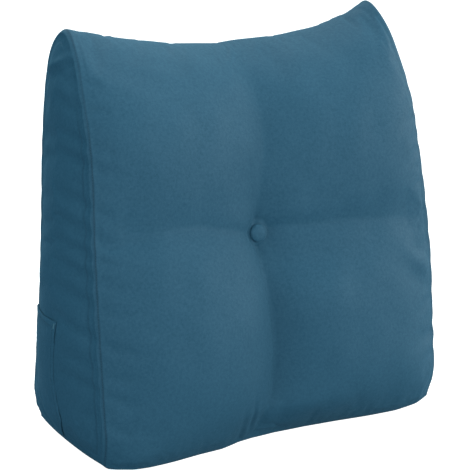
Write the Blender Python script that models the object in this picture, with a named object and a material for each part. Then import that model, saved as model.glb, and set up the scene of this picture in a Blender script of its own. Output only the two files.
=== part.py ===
"""A wedge-shaped back cushion that stands on its base, with one covered tufting button in its front.

Metres, +Z up. The origin is the middle of the base, on the surface that the cushion stands on.
-Y is the leaning front and +X the right side of the front as it is looked at.
"""

import math

import bpy
import numpy as np
from mathutils import Vector
from mathutils.bvhtree import BVHTree

# Driving sizes of the filled body
BASE_ROUND = 0.018  # how far inside the base seam the base lies flat
CORNER_LIFT = 0.006  # how far the base's corners turn up
TOP_DIP = 0.034  # how far the top sags between the two ears
DIP_POWERS = {"left": 1.7, "right": 2.7}  # a higher power keeps the rise to the ear for its last stretch
EAR_HEIGHT = 0.490
EAR_RISE = {"left": 0.002, "right": 0.006}  # the right ear is pulled to a sharper point
CROWN_POWER = 3.2
SHOULDER = 0.23  # the share of the lobes' swell that comes in right beside the seams
SHOULDER_REACH = 0.022
FRONT_TOP = 0.452  # height at which the front turns over into the top
TUFT_HEIGHT = 0.268  # height of the button along the front seam
CREASE_REACH = 0.066  # how fast a crease fades sideways
CREASE_REACH_RIGHT = 0.105  # the same to the right of the upright crease above the button
CREASE_ROUND = (0.004, 0.007)  # softness of a crease's bottom by the button and away from it
CREASE_ROLL = 0.010  # above the button the cloth rolls in softly from the left
UPPER_START = (0.012, 0.050)  # how far above the button that begins and is complete
TUFT_X = -0.009
TUFT_PULL = 0.012
TUFT_REACH = 0.024
SEAT_RADIUS = 0.0135  # the flat floor of the dimple, under the button
SEAT_BLEND = 0.010
SEAT_DEPTH = 0.0118  # how far that floor lies behind the line between the seams

# The seam of a side panel: a ditch at the stitching, then the seam allowance as a narrow ridge beside it
SEAM_STEPS = ((0.0, 0.0), (0.0014, -0.0006), (0.0032, 0.0011), (0.0056, 0.0009), (0.0080, -0.0003))
SEAM_STEP_LIMIT = 0.2  # the most of the way to its middle that the seam's profile may take
SIDE_SHARES = (0.18, 0.36, 0.56, 0.78)
SIDE_MIDDLE = (0.045, 0.445)  # lowest and highest point of the side panel's middle line
RIDGE_FADE_DEPTH = (0.075, 0.040)  # the ridge fades out where the seam turns over to the back
RIDGE_FADE_HEIGHT = (0.010, 0.030)  # and above the base

# Sizes of the covered button and of the lap
BUTTON_RADIUS = 0.0110
BUTTON_GAP = 0.0005
BUTTON_SIDES = 36
# The button from its flat back over its rolled rim to its dome: share of the radius, height.
BUTTON_PROFILE = (
    (0.88, 0.0000),
    (0.98, 0.0004),
    (1.00, 0.0009),
    (0.97, 0.0018),
    (0.88, 0.0028),
    (0.71, 0.0037),
    (0.46, 0.0042),
    (0.22, 0.0044),
)
BUTTON_CROWN = 0.0045
BUTTON_TRIALS = (0.3, 0.6, 0.9, 1.0)  # shares of its radius at which its back is kept clear of the cloth
LAP_GAP = 0.0008
LAP_THICKNESS = 0.0012
LAP_AXIS = (-0.165, 0.045)  # x and y of the upright line that the lap is laid round
LAP_SIDE = -0.245  # x of the side panel there
LAP_BACK_TURN = math.radians(52)  # how far round the lap's hidden end lies on the back
LAP_FRONT = (
    (0.020, -0.019),
    (0.045, -0.024),
    (0.061, -0.017),
    (0.084, -0.011),
    (0.109, -0.012),
    (0.135, -0.0165),
    (0.165, -0.023),
)
LAP_HEIGHTS = (0.020, 0.152)
LAP_TOP_TILT = 0.013  # how much higher its top edge is at the front
LAP_GAP_LOW = 0.0009  # how much further the lap stands off near the floor, where the body curves under
LAP_SIDE_COLUMNS = 22
LAP_BACK_COLUMNS = 6

# The seam round a side panel, from the foot up the front to the ear and down the back to the heel.
# half is its distance from the middle; crown is how far the cloth between the seams stands out from them;
# crease is the depth of the upright crease in the front and drift moves that crease sideways.
SEAM_COLUMNS = ("height", "depth", "half", "crown", "crease", "drift")
SEAM = {
    "foot": (0.001, -0.1070, 0.2262, 0.002, 0.003, -0.031),
    "toe": (0.020, -0.1085, 0.2275, 0.014, 0.016, -0.025),
    "shin": (0.065, -0.1035, 0.2285, 0.032, 0.031, -0.011),
    "thigh": (0.120, -0.0980, 0.2282, 0.039, 0.036, -0.005),
    "lap": (0.190, -0.0910, 0.2278, 0.038, 0.038, -0.006),
    "tuft": (0.268, -0.0795, 0.2245, 0.032, 0.039, -0.010),
    "rib": (0.328, -0.0695, 0.2202, 0.033, 0.035, -0.006),
    "chest": (0.380, -0.0575, 0.2176, 0.030, 0.028, 0.005),
    "shoulder": (0.428, -0.0355, 0.2142, 0.024, 0.019, 0.007),
    "brow": (0.466, -0.0110, 0.2095, 0.012, 0.009, 0.012),
    "ear": (0.490, 0.0260, 0.2045, 0.003, 0.003, 0.018),
    "nape": (0.470, 0.0560, 0.2080, 0.012, 0.000, 0.000),
    "neck": (0.425, 0.0660, 0.2135, 0.020, 0.000, 0.000),
    "blade": (0.350, 0.0690, 0.2190, 0.028, 0.000, 0.000),
    "spine": (0.260, 0.0670, 0.2240, 0.032, 0.000, 0.000),
    "loin": (0.170, 0.0740, 0.2262, 0.032, 0.000, 0.000),
    "seat": (0.090, 0.0860, 0.2262, 0.026, 0.000, 0.000),
    "hem": (0.035, 0.0980, 0.2260, 0.013, 0.000, 0.000),
    "heel": (0.001, 0.1010, 0.2262, 0.001, 0.000, 0.000),
}

# Fuller parts of the lobes of the front: x, height, reach across, reach upward, rise.
LOBES = {
    "lower left": (-0.105, 0.140, 0.070, 0.075, 0.0030),
    "upper right": (0.160, 0.355, 0.070, 0.080, 0.0030),
    "lower right": (0.050, 0.150, 0.045, 0.080, 0.0030),
}

# The level crease from the left seam through the button to the right seam: share of the half width,
# depth, and height along the seam.
LEVEL_CREASE = (
    (-1.00, 0.002, 0.272),
    (-0.85, 0.009, 0.280),
    (-0.43, 0.019, 0.285),
    (-0.18, 0.023, 0.275),
    (-0.04, 0.028, 0.268),
    (0.10, 0.024, 0.274),
    (0.50, 0.018, 0.268),
    (0.85, 0.009, 0.250),
    (1.00, 0.002, 0.236),
)

# The front foot of the cushion, where it turns under: share of the half width, how far it is drawn in.
FOOT_LINE = (
    (-1.00, 0.012),
    (-0.94, 0.004),
    (-0.87, -0.001),
    (-0.78, -0.002),
    (-0.64, 0.000),
    (-0.48, 0.004),
    (-0.34, 0.005),
    (-0.21, 0.013),
    (0.00, 0.017),
    (0.19, 0.016),
    (0.38, 0.012),
    (0.57, 0.006),
    (0.75, 0.002),
    (0.90, 0.004),
    (1.00, 0.012),
)
HEEL_SETBACK = 0.016  # how far the base seam turns in at its back corners

# How far the side panel swells out between its seams, by height.
SIDE_CROWN = ((0.0, 0.019), (0.05, 0.021), (0.16, 0.022), (0.28, 0.018), (0.40, 0.012), (0.49, 0.002))
SIDE_FOOT = 0.050  # the height over which that swell comes in above the base
SIDE_POWER = 2.3  # a higher power keeps the swell up for longer before it drops to the seams

# Soft folds in the front: both ends as x and height, half the fold's width, and its height out of the cloth.
FRONT_FOLDS = {
    "bottom gather left": (-0.046, 0.008, -0.052, 0.072, 0.010, -0.0026),
    "bottom gather right": (0.006, 0.006, 0.002, 0.060, 0.010, -0.0018),
    "edge fold": (0.228, 0.145, 0.160, 0.203, 0.012, -0.0012),
    "edge fold low": (0.228, 0.092, 0.185, 0.106, 0.011, -0.0014),
    "shoulder fold": (0.215, 0.372, 0.180, 0.350, 0.011, -0.0016),
}

# Rows and columns of the cloth
ACROSS = (0.0, 0.022, 0.044, 0.066, 0.088, 0.115, 0.150, 0.200, 0.270, 0.350, 0.440, 0.540, 0.640)
ACROSS = ACROSS + (0.730, 0.805, 0.870, 0.920, 0.955, 0.980, 1.0)
TOP_ROWS = 13
BASE_ROWS = 9
ROW_GAP_NEAR = 0.0050  # the distance between rows beside the button and at the foot
ROW_GAP_FAR = 0.0168
ROW_GAP_START = 0.024  # the length to either side of the button that has the close rows
ROW_GAP_RUN = 0.040  # the length over which the rows open out
ROW_GAP_GROWTH = 0.2  # how fast they open out above the foot

CLOTH = ("cushion cloth", (0.052, 0.135, 0.200), 0.85)
BUTTON_CLOTH = ("button cloth", (0.045, 0.120, 0.180), 0.85)


def column(rows, index):
    """One column of a short table beside its first."""
    return np.array([row[0] for row in rows]), np.array([row[index] for row in rows])


def blend(value, start, end):
    """Eases from 0 at start to 1 at end."""
    share = np.clip((value - start) / (end - start), 0, 1)
    return share * share * (3 - 2 * share)


def smooth_curve(points, per_span=30):
    """A dense Catmull-Rom curve through the points."""
    padded = np.vstack([2 * points[0] - points[1], points, 2 * points[-1] - points[-2]])
    t = np.arange(per_span)[:, None] / per_span
    spans = []
    for a, b, c, d in zip(padded[:-3], padded[1:-2], padded[2:-1], padded[3:]):
        bend = (2 * a - 5 * b + 4 * c - d) * t**2 + (3 * b - a - 3 * c + d) * t**3
        spans.append(0.5 * (2 * b + (c - a) * t + bend))
    return np.vstack(spans + [points[-1:]])


def seam_length(curve):
    """Length along the curve at each of its points, from its first two columns."""
    step = np.hypot(np.diff(curve[:, 0]), np.diff(curve[:, 1]))
    return np.concatenate([[0], np.cumsum(step)])


def resample(curve, shares):
    """The curve's rows at shares of its length."""
    length = seam_length(curve)
    at = np.asarray(shares) * length[-1]
    return np.stack([np.interp(at, length, curve[:, i]) for i in range(curve.shape[1])], axis=1)


def front_shares(curve):
    """Rows up the front, closer together by the foot and by the button."""
    length = seam_length(curve)
    tuft = np.interp(TUFT_HEIGHT, curve[:, 0], length)
    rows = [0.0]
    while rows[-1] < length[-1]:
        opened = min(1, max(0, abs(rows[-1] - tuft) - ROW_GAP_START) / ROW_GAP_RUN)
        gap = ROW_GAP_NEAR + (ROW_GAP_FAR - ROW_GAP_NEAR) * opened
        gap = min(gap, ROW_GAP_NEAR + rows[-1] * ROW_GAP_GROWTH)
        rows.append(rows[-1] + gap)
    return np.array(rows) / rows[-1]


def seam_stations():
    """Stations round the seam from foot to heel, with the outward normal (y, z) at each."""
    curve = smooth_curve(np.array(list(SEAM.values())))
    peak = int(np.argmax(curve[:, 0]))
    turn_front = int(np.argmin(np.abs(curve[:peak, 0] - FRONT_TOP)))
    turn_back = peak + int(np.argmin(np.abs(curve[peak:, 0] - FRONT_TOP)))
    shares = front_shares(curve[: turn_front + 1])
    front = resample(curve[: turn_front + 1], shares)
    top = resample(curve[turn_front : turn_back + 1], np.linspace(0, 1, TOP_ROWS + 2))
    back = resample(curve[turn_back:], 1 - shares[::-1])
    stations = np.vstack([front, top[1:-1], back])
    along = seam_length(stations)
    dz, dy = np.gradient(stations[:, 0], along), np.gradient(stations[:, 1], along)
    size = np.hypot(dz, dy)
    return stations, np.stack([-dz / size, dy / size], axis=1)


def fold_height(folds, x, z):
    """Height of the soft folds at x and z."""
    total = np.zeros(np.broadcast(x, z).shape)
    for fold in folds.values():
        x0, z0, x1, z1, width, rise = fold
        run = math.hypot(x1 - x0, z1 - z0)
        ux, uz = (x1 - x0) / run, (z1 - z0) / run
        along = ((x - x0) * ux + (z - z0) * uz) / run
        aside = (x - x0) * uz - (z - z0) * ux
        ends = blend(along, -0.15, 0.25) * blend(along, 1.15, 0.6)
        total = total + rise * np.exp(-((aside / width) ** 2)) * ends
    return total


def lobe_height(x, z):
    """How much further the fuller parts of the lobes stand out at x and z."""
    total = np.zeros(np.broadcast(x, z).shape)
    for middle, height, across, upward, rise in LOBES.values():
        total = total + rise * np.exp(-(((x - middle) / across) ** 2) - ((z - height) / upward) ** 2)
    return total


def crease_depth(x, half, z, crease, drift):
    """Depth of the two pulled-in creases that cross at the button, and of the pull of the button itself."""
    reach = np.hypot(x - TUFT_X, z - TUFT_HEIGHT)
    soft = CREASE_ROUND[0] + (CREASE_ROUND[1] - CREASE_ROUND[0]) * blend(reach, 0.02, 0.10)
    upper = blend(z, TUFT_HEIGHT + UPPER_START[0], TUFT_HEIGHT + UPPER_START[1])
    roll = soft + np.where(x < drift, CREASE_ROLL - soft, 0) * upper
    aside = np.sqrt((x - drift) ** 2 + roll**2) - roll
    fade = CREASE_REACH + np.where(x > drift, CREASE_REACH_RIGHT - CREASE_REACH, 0) * upper
    share, depth = column(LEVEL_CREASE, 1)
    above = np.sqrt((z - np.interp(x / half, share, column(LEVEL_CREASE, 2)[1])) ** 2 + soft**2) - soft
    level = np.interp(x / half, share, depth) * np.exp(-above / CREASE_REACH)
    upright = crease * np.exp(-aside / fade) * (1 - np.abs(x / half) ** 4)
    tuft = TUFT_PULL * np.exp(-reach / TUFT_REACH)
    return (level**3 + upright**3) ** (1 / 3) + tuft


def wrap_points(stations, normals, s):
    """The cloth that runs up the front, over the top and down the back: points [row, column] at shares s."""
    z0, y0, half, crown, crease, drift = (stations[:, i][:, None] for i in range(len(SEAM_COLUMNS)))
    on_front = (np.arange(len(stations)) < np.argmax(stations[:, 0]) + 1)[:, None]
    s = np.asarray(s)[None, :]
    x = s * half
    depth = crease_depth(x, half, z0, crease, drift)
    out = crown * (1 - SHOULDER) * (1 - np.abs(s) ** CROWN_POWER)
    out = out + crown * SHOULDER * (1 - np.exp(-(half - np.abs(x)) / SHOULDER_REACH))
    out = out - np.where(on_front, depth, 0) * blend(crease, 0, 0.004)
    out = out + np.where(on_front, fold_height(FRONT_FOLDS, x, z0) + lobe_height(x, z0), 0)
    reach = np.hypot(x - TUFT_X, z0 - TUFT_HEIGHT)
    seat = np.where(on_front, 1 - blend(reach, SEAT_RADIUS, SEAT_RADIUS + SEAT_BLEND), 0)
    out = out * (1 - seat) - SEAT_DEPTH * seat
    out = out * (np.abs(s) < 1)
    low = blend(z0, 0.05, 0.0)
    rise = np.where(s > 0, EAR_RISE["right"], EAR_RISE["left"])
    lift = CORNER_LIFT * np.abs(s) ** 8 * low + rise * np.abs(s) ** 16 * blend(z0, 0.44, 0.49)
    turned_in = np.where(on_front, np.interp(s, *column(FOOT_LINE, 1)), -HEEL_SETBACK * np.abs(s) ** 10)
    power = np.where(s > 0, DIP_POWERS["right"], DIP_POWERS["left"])
    dip = TOP_DIP * (1 - np.abs(s) ** power)
    y = y0 + normals[:, 0:1] * out + turned_in * low
    z = (z0 + normals[:, 1:2] * out) * (1 - dip / EAR_HEIGHT) + lift
    return np.stack([x, y, np.maximum(z, 0)], axis=2)


def base_points(first, last, rows):
    """The base between the foot's row of points and the heel's: lifted at its seam and flat inside it."""
    share = np.linspace(0, 1, rows + 2)[1:-1][:, None, None]
    share = 0.5 - 0.5 * np.cos(share * math.pi)
    grid = first[None] * (1 - share) + last[None] * share
    rim_x = np.minimum(grid[:, :, 0] - grid[:, :1, 0], grid[:, -1:, 0] - grid[:, :, 0])
    rim_y = np.minimum(grid[:, :, 1] - first[None, :, 1], last[None, :, 1] - grid[:, :, 1])
    rim = np.minimum(np.abs(rim_x), rim_y)
    grid[:, :, 2] *= (1 - np.clip(rim / BASE_ROUND, 0, 1)) ** 2
    return grid


def side_rings(loop, pair):
    """Rings of points from the side panel's closed seam inward; pair holds each point's opposite number."""
    middle = 0.5 * (loop + loop[pair])
    low, top = SIDE_MIDDLE
    high = np.argmin(np.abs(middle[:, 2] - top) + (loop[:, 1] > 0))
    deep = np.argmin(np.abs(middle[:, 2] - low) + (loop[:, 1] > 0))
    middle[middle[:, 2] > top] = middle[high]
    middle[middle[:, 2] < low] = middle[deep]
    run = middle - loop
    length = np.linalg.norm(run[:, 1:], axis=1)
    side = math.copysign(1, loop[0, 0])
    peak = int(np.argmax(loop[:, 2]))
    heel = int(np.argmin(pair))
    front, back = loop[: peak + 1], loop[peak : heel + 1][::-1]
    rings = []
    for step, rise in SEAM_STEPS[1:]:
        share = np.minimum(step / length, SEAM_STEP_LIMIT)
        rings.append((share, rise))
    for share in SIDE_SHARES:
        start = np.minimum(SEAM_STEPS[-1][0] / length, SEAM_STEP_LIMIT)
        rings.append((share + (1 - share) * start, 0.0))
    out = []
    for share, rise in rings:
        points = loop + run * share[:, None]
        y, z = points[:, 1], points[:, 2]
        edges = np.interp(z, front[:, 2], front[:, 1]), np.interp(z, back[:, 2], back[:, 1])
        off = np.abs(2 * y - edges[0] - edges[1]) / np.maximum(edges[1] - edges[0], 0.001)
        swell = np.interp(z, *column(SIDE_CROWN, 1)) * (1 - np.clip(off, 0, 1) ** SIDE_POWER)
        swell *= 1 - (1 - np.clip(z / SIDE_FOOT, 0, 1)) ** 2
        on_front = blend(loop[:, 1], *RIDGE_FADE_DEPTH) * blend(loop[:, 2], *RIDGE_FADE_HEIGHT)
        points[:, 0] += side * (swell + rise * on_front)
        out.append(points)
    return out


def quads_between(upper, lower):
    """Faces between two rows of vertex numbers."""
    return [(upper[i], upper[i + 1], lower[i + 1], lower[i]) for i in range(len(upper) - 1)]


def body_mesh():
    """Points and faces of the filled body, one closed skin."""
    stations, normals = seam_stations()
    s = np.array([-value for value in ACROSS[:0:-1]] + list(ACROSS))
    wrap = wrap_points(stations, normals, s)
    rows, columns = wrap.shape[:2]
    base = base_points(wrap[0], wrap[-1], BASE_ROWS)
    wrap_ids = np.arange(rows * columns).reshape(rows, columns)
    base_ids = rows * columns + np.arange(BASE_ROWS * columns).reshape(BASE_ROWS, columns)
    points = [wrap.reshape(-1, 3), base.reshape(-1, 3)]
    count = (rows + BASE_ROWS) * columns
    faces = []
    for lower, upper in zip(wrap_ids[:-1], wrap_ids[1:]):
        faces += quads_between(lower, upper)
    under = np.vstack([wrap_ids[-1:], base_ids[::-1], wrap_ids[:1]])
    for lower, upper in zip(under[:-1], under[1:]):
        faces += quads_between(lower, upper)
    for edge, flip in ((0, False), (columns - 1, True)):
        ids = np.concatenate([wrap_ids[:, edge], base_ids[::-1, edge]])
        loop = np.vstack(points[:2])[ids]
        pair = np.concatenate([np.arange(rows)[::-1], rows + np.arange(BASE_ROWS)[::-1]])
        outer = ids
        for ring in side_rings(loop, pair):
            inner = count + np.arange(len(ids))
            points.append(ring)
            count += len(ids)
            band = quads_between(np.append(outer, outer[0]), np.append(inner, inner[0]))
            faces += [face[::-1] for face in band] if flip else band
            outer = inner
        half_rows, half_base = rows // 2, BASE_ROWS // 2
        left = list(outer[rows + half_base + 1 :]) + list(outer[:half_rows])
        right = [outer[pair[list(outer).index(number)]] for number in left]
        closing = quads_between(left, right)
        tip = outer[rows + half_base]
        closing.append((tip, left[0], right[0]))
        faces += [face[::-1] for face in closing] if flip else closing
        if rows % 2:
            apex = outer[half_rows]
            cap = (left[-1], apex, right[-1])
            faces.append(cap[::-1] if flip else cap)
    return np.vstack(points), faces


def new_object(name, points, faces, material):
    """One named solid with its own material, shaded smooth."""
    mesh = bpy.data.meshes.new(name)
    corners = [tuple(map(float, point)) for point in points]
    mesh.from_pydata(corners, [], [tuple(map(int, face)) for face in faces])
    mesh.update()
    for face in mesh.polygons:
        face.use_smooth = True
    label, colour, roughness = material
    surface = bpy.data.materials.new(label)
    surface.use_nodes = True
    shader = surface.node_tree.nodes["Principled BSDF"]
    shader.inputs["Base Color"].default_value = (*colour, 1)
    shader.inputs["Roughness"].default_value = roughness
    shader.inputs["Metallic"].default_value = 0
    mesh.materials.append(surface)
    result = bpy.data.objects.new(name, mesh)
    bpy.context.scene.collection.objects.link(result)
    return result


def tuft_frame():
    """Middle of the dimple's floor and the direction it faces."""
    stations, normals = seam_stations()
    front = stations[: np.argmax(stations[:, 0]), 0]
    row = int(np.argmin(np.abs(front - TUFT_HEIGHT)))
    middle = wrap_points(stations, normals, [TUFT_X / stations[row, 2]])[row, 0]
    return Vector(middle), Vector((0, normals[row, 0], normals[row, 1])).normalized()


def button_mesh(skin):
    """The covered button: a flat back, a rolled rim and a low dome, clear of the skin behind it."""
    middle, facing = tuft_frame()
    across = Vector((1, 0, 0))
    upward = facing.cross(across).normalized()
    sides = BUTTON_SIDES
    turns = [2 * math.pi * i / sides for i in range(sides)]
    nearest = 0.0
    for turn in turns:
        for share in BUTTON_TRIALS:
            spot = middle + (across * math.cos(turn) + upward * math.sin(turn)) * BUTTON_RADIUS * share
            hit = skin.ray_cast(spot + facing * 0.05, -facing)[0]
            nearest = max(nearest, (hit - middle).dot(facing))
    back = middle + facing * (nearest + BUTTON_GAP)
    points = [back]
    faces = []
    for share, rise in BUTTON_PROFILE:
        for turn in turns:
            spoke = across * math.cos(turn) + upward * math.sin(turn)
            points.append(back + spoke * BUTTON_RADIUS * share + facing * rise)
    points.append(back + facing * BUTTON_CROWN)
    tip = len(points) - 1
    for i in range(sides):
        after = (i + 1) % sides
        faces.append((0, 1 + after, 1 + i))
        for ring in range(len(BUTTON_PROFILE) - 1):
            low, high = 1 + ring * sides, 1 + (ring + 1) * sides
            faces.append((low + i, low + after, high + after, high + i))
        last = 1 + (len(BUTTON_PROFILE) - 1) * sides
        faces.append((last + i, last + after, tip))
    return points, faces


def lap_mesh(skin):
    """The lap of the back cloth round the lower left edge, a thin sheet that follows the skin under it."""
    height, front = column(LAP_FRONT, 1)
    stations = seam_stations()[0]
    back = stations[np.argmax(stations[:, 0]) :][::-1]
    seam_z, seam_y, seam_x = back[:, 0], back[:, 1], back[:, 2]
    low, high = LAP_HEIGHTS
    between = seam_z[(seam_z > low + 0.003) & (seam_z < high - 0.003)]
    rows = np.concatenate([[low], between, [high]])
    heights = np.sort(np.concatenate([rows, 0.5 * (rows[1:] + rows[:-1])]))
    inner, outer = [], []
    span = high - low
    for z in heights:
        axis = Vector((*LAP_AXIS, z))
        start = math.atan2(np.interp(z, height, front) - axis.y, axis.x - LAP_SIDE)
        corner = math.atan2(np.interp(z, seam_z, seam_y) - axis.y, axis.x + np.interp(z, seam_z, seam_x))
        turns = list(corner + (start - corner) * np.linspace(1, 0, LAP_SIDE_COLUMNS) ** 1.3)
        turns += list(corner + (LAP_BACK_TURN - corner) * np.linspace(0, 1, LAP_BACK_COLUMNS + 1)[1:] ** 1.3)
        for turn in turns:
            aim = Vector((-math.cos(turn), math.sin(turn), 0))
            forward = (LAP_BACK_TURN - turn) / (LAP_BACK_TURN - turns[0])
            tilt = LAP_TOP_TILT * forward * (z - low) / span
            hit = skin.ray_cast(axis + Vector((0, 0, tilt)), aim)[0]
            gap = LAP_GAP + LAP_GAP_LOW * blend(z, 0.06, 0.03)
            inner.append(hit + aim * gap)
            outer.append(hit + aim * (gap + LAP_THICKNESS))
    rows, columns = len(heights), LAP_SIDE_COLUMNS + LAP_BACK_COLUMNS
    count = rows * columns
    faces = []
    for r in range(rows - 1):
        for c in range(columns - 1):
            a = r * columns + c
            faces.append((a, a + 1, a + columns + 1, a + columns))
            faces.append((count + a, count + a + columns, count + a + columns + 1, count + a + 1))
    rim = list(range(columns)) + [r * columns + columns - 1 for r in range(1, rows)]
    rim += [count - 2 - i for i in range(columns - 1)] + [r * columns for r in range(rows - 2, 0, -1)]
    for a, b in zip(rim, rim[1:] + rim[:1]):
        faces.append((b, a, count + a, count + b))
    return inner + outer, faces


def clear_scene():
    """Starts from an empty scene."""
    for item in list(bpy.data.objects):
        bpy.data.objects.remove(item, do_unlink=True)


clear_scene()
body_points, body_faces = body_mesh()
new_object("cushion_body", body_points, body_faces, CLOTH)
body_skin = BVHTree.FromPolygons([Vector(point) for point in body_points], body_faces)
new_object("tuft_button", *button_mesh(body_skin), BUTTON_CLOTH)
new_object("back_lap", *lap_mesh(body_skin), CLOTH)
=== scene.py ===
import math

import bpy
import numpy as np
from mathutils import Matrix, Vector
from mathutils.bvhtree import BVHTree


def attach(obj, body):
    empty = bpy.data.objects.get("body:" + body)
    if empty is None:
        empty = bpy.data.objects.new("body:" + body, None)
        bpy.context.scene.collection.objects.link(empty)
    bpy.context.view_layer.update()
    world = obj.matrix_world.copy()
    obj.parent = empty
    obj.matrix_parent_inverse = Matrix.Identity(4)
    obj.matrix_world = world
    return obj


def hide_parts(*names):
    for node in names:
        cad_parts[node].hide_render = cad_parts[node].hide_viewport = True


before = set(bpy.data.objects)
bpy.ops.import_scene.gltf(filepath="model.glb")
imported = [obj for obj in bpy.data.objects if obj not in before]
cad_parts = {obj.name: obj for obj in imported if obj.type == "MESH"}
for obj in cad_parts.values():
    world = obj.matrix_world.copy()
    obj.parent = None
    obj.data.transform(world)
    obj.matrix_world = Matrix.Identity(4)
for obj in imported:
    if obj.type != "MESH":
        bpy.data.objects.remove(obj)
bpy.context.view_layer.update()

# Curves and tables


def blendOver(value, start, end):
    share = np.clip((value - start) / (end - start), 0, 1)
    return share * share * (3 - 2 * share)


def bell(distance, width):
    return np.exp(-((distance / width) ** 2))


def tableColumns(rows):
    return [np.array(values, float) for values in zip(*rows)]


def smoothCurve(points, perSpan=40):
    # A dense Catmull-Rom curve through the rows of points
    padded = np.vstack([2 * points[0] - points[1], points, 2 * points[-1] - points[-2]])
    t = np.arange(perSpan)[:, None] / perSpan
    spans = []
    for a, b, c, d in zip(padded[:-3], padded[1:-2], padded[2:-1], padded[3:]):
        bend = (2 * a - 5 * b + 4 * c - d) * t**2 + (3 * b - a - 3 * c + d) * t**3
        spans.append(0.5 * (2 * b + (c - a) * t + bend))
    return np.vstack(spans + [points[-1:]])


def lengthAlong(points):
    step = np.linalg.norm(np.diff(points, axis=0), axis=1)
    return np.concatenate([[0], np.cumsum(step)])


def resampleCurve(curve, shares):
    length = lengthAlong(curve[:, :2])
    at = np.asarray(shares) * length[-1]
    return np.stack([np.interp(at, length, curve[:, i]) for i in range(curve.shape[1])], axis=1)


def unevenNoise(a, b, seed, waves=7, low=18.0, high=60.0):
    # Smooth uneven waves over two lengths in metres, the same on every run
    rng = np.random.default_rng(seed)
    total = np.zeros(np.broadcast(a, b).shape)
    for turn in range(waves):
        rate = rng.uniform(low, high)
        angle = rng.uniform(0, math.tau)
        phase = rng.uniform(0, math.tau)
        total = total + np.sin(rate * (a * math.cos(angle) + b * math.sin(angle)) + phase)
    return total / math.sqrt(waves)


# The cover: one skin of a front, top and back, two side panels and a base

coverSize = {
    "halfWidth": 0.225,
    "baseRound": 0.018,
    "cornerLift": 0.006,
    "topDip": 0.034,
    "dipPowerLeft": 1.7,
    "dipPowerRight": 2.7,
    "earHeight": 0.490,
    "earRiseLeft": 0.002,
    "earRiseRight": 0.006,
    "heelSetback": 0.016,
    "crownPower": 3.2,
    "shoulder": 0.009,
    "shoulderReach": 0.022,
    "frontTop": 0.452,
    "tuftHeight": 0.268,
    "tuftX": -0.009,
    "tuftPull": 0.009,
    "tuftReach": 0.024,
    "seatRadius": 0.0111,
    "seatBlend": 0.008,
    "seatDepth": 0.0098,
    "creaseReach": 0.066,
    "creaseReachRight": 0.105,
    "creaseRoundNear": 0.0022,
    "creaseRoundFar": 0.004,
    "creaseRoll": 0.010,
    "uprightTight": 0.24,
    "uprightTightRight": 0.10,
    "gentleHeight": 0.236,
    "gentleReach": 0.030,
    "uprightTightReach": 0.0150,
    "levelTight": 0.07,
    "levelTightReach": 0.0130,
    "creaseEndPower": 4,
    "seamPower": 60,
    "cornerPower": 8,
    "earPower": 16,
    "heelPower": 10,
    "backDent": 0.6,
    "sideFoot": 0.050,
    "sidePower": 2.3,
    "sideLump": 0.0013,
    "footBand": 0.004,
}

# Where each shape fades in: the two ends, as heights or as distances from the seam, the button or the foot
coverBlend = {
    "creaseSoften": (0.02, 0.10),
    "rollAbove": (0.012, 0.05),
    "rollAcross": (0.001, -0.001),
    "broadHeight": (0.18, 0.23),
    "creaseTop": (0.44, 0.36),
    "creaseStart": (0, 0.004),
    "wrinkleStart": (0.006, 0.014),
    "lumpSeam": (0.0, 0.03),
    "lumpFoot": (0.012, 0.04),
    "ditchFoot": (0.0, 0.02),
    "footTurn": (0.05, 0.0),
    "earRise": (0.44, 0.49),
    "ridgeFoot": (0.004, 0.02),
    "ridgeSeam": (0.006, 0.009),
    "ridgeTop": (0.38, 0.44),
    "leftFoldSeam": (0.003, 0.006),
    "sideLumpSeam": (0.004, 0.03),
    "coreFoot": (14, 0),
    "backShare": (-0.02, 0.02),
}

# Unevenness of the front and back: rise, seed, waves, lowest and highest rate
coverLumps = [(0.0011, 11, 7, 18.0, 60.0), (0.0005, 12, 9, 60, 150)]

coverMesh = {"frontRows": 150, "topRows": 28, "columns": 176, "baseRows": 40}

# Spacing of the skin's rows and columns: place, distance to the next
rowSpacing = [
    (0.0, 1.2),
    (0.02, 1.8),
    (0.06, 3.6),
    (0.21, 3.6),
    (0.245, 1.5),
    (0.285, 1.5),
    (0.32, 3.6),
    (0.5, 3.6),
]
columnSpacing = [
    (-1.0, 0.9),
    (-0.985, 1.1),
    (-0.93, 2.4),
    (-0.85, 3.4),
    (-0.22, 3.4),
    (-0.12, 1.5),
    (-0.05, 1.2),
    (0.02, 1.5),
    (0.12, 3.4),
    (0.85, 3.4),
    (0.93, 2.4),
    (0.985, 1.1),
    (1.0, 0.9),
]

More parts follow.
